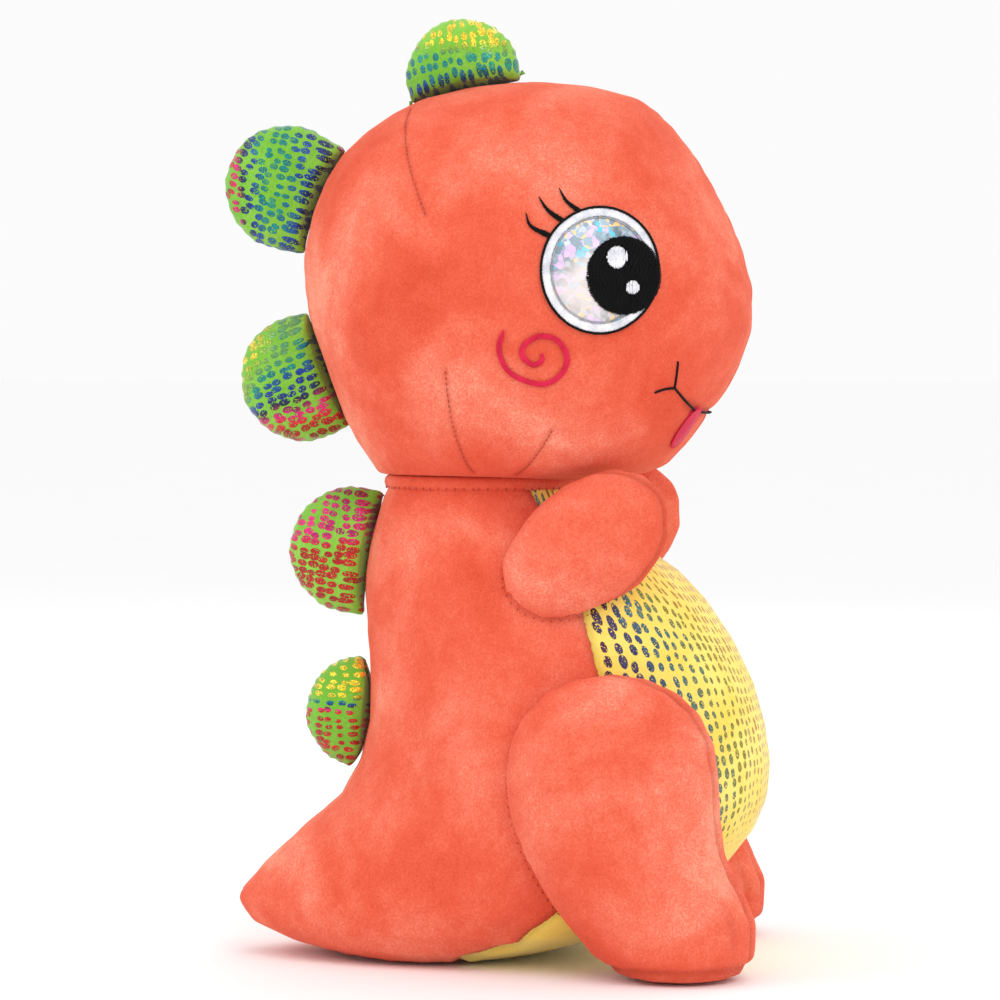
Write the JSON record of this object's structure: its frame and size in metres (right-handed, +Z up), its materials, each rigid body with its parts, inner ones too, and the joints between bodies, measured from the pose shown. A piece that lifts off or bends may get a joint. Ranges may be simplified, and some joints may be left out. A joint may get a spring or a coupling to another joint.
{
  "type": "stuffed dinosaur",
  "caption": "Sitting plush dinosaur with a big round head, embroidered eyes, dotted foil belly and round padded spikes; head, arms, legs and spikes flex at their seams.",
  "frame": {"origin": "bottom centre of the bounding box: on the floor, in the middle plane", "axes": "+Z up, the face and toes point to -Y, the toy's left side is +X, millimetres in the source"},
  "size_m": [0.1782, 0.2051, 0.3495],
  "materials": {
    "coral_plush": "short coral plush pile",
    "belly_foil_fabric": "yellow tricot with printed foil dots",
    "spike_foil_fabric": "lime tricot with large foil dots",
    "black_thread": "black satin-stitched thread",
    "white_thread": "white satin-stitched thread",
    "eye_foil_fabric": "crackled holographic foil fabric",
    "pink_thread": "pink satin-stitched thread",
    "pink_felt": "pink felt",
    "filling": "white polyester fibre filling"
  },
  "bodies": {
    "torso": {"torso_right_panel": "coral_plush", "torso_left_panel": "coral_plush", "belly_panel": "belly_foil_fabric", "seat_panel": "coral_plush", "torso_filling": "filling", "right_arm_seam_thread": "coral_plush", "left_arm_seam_thread": "coral_plush", "right_leg_seam_thread": "coral_plush", "left_leg_seam_thread": "coral_plush"},
    "neck": {"neck_seam_thread": "coral_plush"},
    "head": {"head_right_panel": "coral_plush", "head_left_panel": "coral_plush", "head_filling": "filling", "right_eye_outline": "black_thread", "right_eye_rim": "white_thread", "right_eye_foil": "eye_foil_fabric", "right_eye_pupil": "black_thread", "right_eye_glints": "white_thread", "right_eyelashes": "black_thread", "left_eye_outline": "black_thread", "left_eye_rim": "white_thread", "left_eye_foil": "eye_foil_fabric", "left_eye_pupil": "black_thread", "left_eye_glints": "white_thread", "left_eyelashes": "black_thread", "right_cheek_swirl": "pink_thread", "left_cheek_swirl": "pink_thread", "mouth_stitching": "black_thread", "tongue": "pink_felt"},
    "right_arm": {"right_arm_outer_panel": "coral_plush", "right_arm_inner_panel": "coral_plush", "right_arm_filling": "filling"},
    "left_arm": {"left_arm_outer_panel": "coral_plush", "left_arm_inner_panel": "coral_plush", "left_arm_filling": "filling"},
    "right_leg": {"right_leg_outer_panel": "coral_plush", "right_leg_inner_panel": "coral_plush", "right_leg_sole": "coral_plush", "right_leg_filling": "filling"},
    "left_leg": {"left_leg_outer_panel": "coral_plush", "left_leg_inner_panel": "coral_plush", "left_leg_sole": "coral_plush", "left_leg_filling": "filling"},
    "spike_1": {"spike_1_right_half": "spike_foil_fabric", "spike_1_left_half": "spike_foil_fabric", "spike_1_filling": "filling"},
    "spike_2": {"spike_2_right_half": "spike_foil_fabric", "spike_2_left_half": "spike_foil_fabric", "spike_2_filling": "filling"},
    "spike_3": {"spike_3_right_half": "spike_foil_fabric", "spike_3_left_half": "spike_foil_fabric", "spike_3_filling": "filling"},
    "spike_4": {"spike_4_right_half": "spike_foil_fabric", "spike_4_left_half": "spike_foil_fabric", "spike_4_filling": "filling"},
    "spike_5": {"spike_5_right_half": "spike_foil_fabric", "spike_5_left_half": "spike_foil_fabric", "spike_5_filling": "filling"}
  },
  "joints": [
    {"name": "head_nod", "type": "hinge", "parent": "torso", "child": "neck", "pos_m": [0, 0.007, 0.1545], "axis": [1, 0, 0], "range_deg": [-7, 2], "stiffness_Nm_per_rad": 3},
    {"name": "head_turn", "type": "hinge", "parent": "neck", "child": "head", "pos_m": [0, 0.007, 0.1545], "axis": [0, 0, 1], "range_deg": [-10, 10], "stiffness_Nm_per_rad": 1},
    {"name": "right_arm_swing", "type": "hinge", "parent": "torso", "child": "right_arm", "pos_m": [-0.046, -0.003, 0.15], "axis": [0, 0, -1], "range_deg": [0, 25], "stiffness_Nm_per_rad": 0.3},
    {"name": "left_arm_swing", "type": "hinge", "parent": "torso", "child": "left_arm", "pos_m": [0.046, -0.003, 0.15], "axis": [0, 0, 1], "range_deg": [0, 25], "stiffness_Nm_per_rad": 0.3},
    {"name": "right_leg_swing", "type": "hinge", "parent": "torso", "child": "right_leg", "pos_m": [-0.0628, -0.006, 0.06], "axis": [0, 0, -1], "range_deg": [0, 18], "stiffness_Nm_per_rad": 0.8},
    {"name": "left_leg_swing", "type": "hinge", "parent": "torso", "child": "left_leg", "pos_m": [0.0628, -0.006, 0.06], "axis": [0, 0, 1], "range_deg": [0, 18], "stiffness_Nm_per_rad": 0.8},
    {"name": "spike_1_tip", "type": "hinge", "parent": "head", "child": "spike_1", "pos_m": [0, 0.01343, 0.32307], "axis": [0, -0.9807, 0.1956], "range_deg": [-12, 12], "stiffness_Nm_per_rad": 0.06},
    {"name": "spike_2_tip", "type": "hinge", "parent": "head", "child": "spike_2", "pos_m": [0, 0.06929, 0.28205], "axis": [0, -0.3646, 0.9312], "range_deg": [-12, 12], "stiffness_Nm_per_rad": 0.06},
    {"name": "spike_3_tip", "type": "hinge", "parent": "head", "child": "spike_3", "pos_m": [0, 0.06591, 0.21849], "axis": [0, 0.3635, 0.9316], "range_deg": [-12, 12], "stiffness_Nm_per_rad": 0.06},
    {"name": "spike_4_tip", "type": "hinge", "parent": "torso", "child": "spike_4", "pos_m": [0, 0.05054, 0.14995], "axis": [0, -0.1673, 0.9859], "range_deg": [-12, 12], "stiffness_Nm_per_rad": 0.06},
    {"name": "spike_5_tip", "type": "hinge", "parent": "torso", "child": "spike_5", "pos_m": [0, 0.0499, 0.08988], "axis": [0, -0.0827, 0.9966], "range_deg": [-12, 12], "stiffness_Nm_per_rad": 0.06}
  ]
}
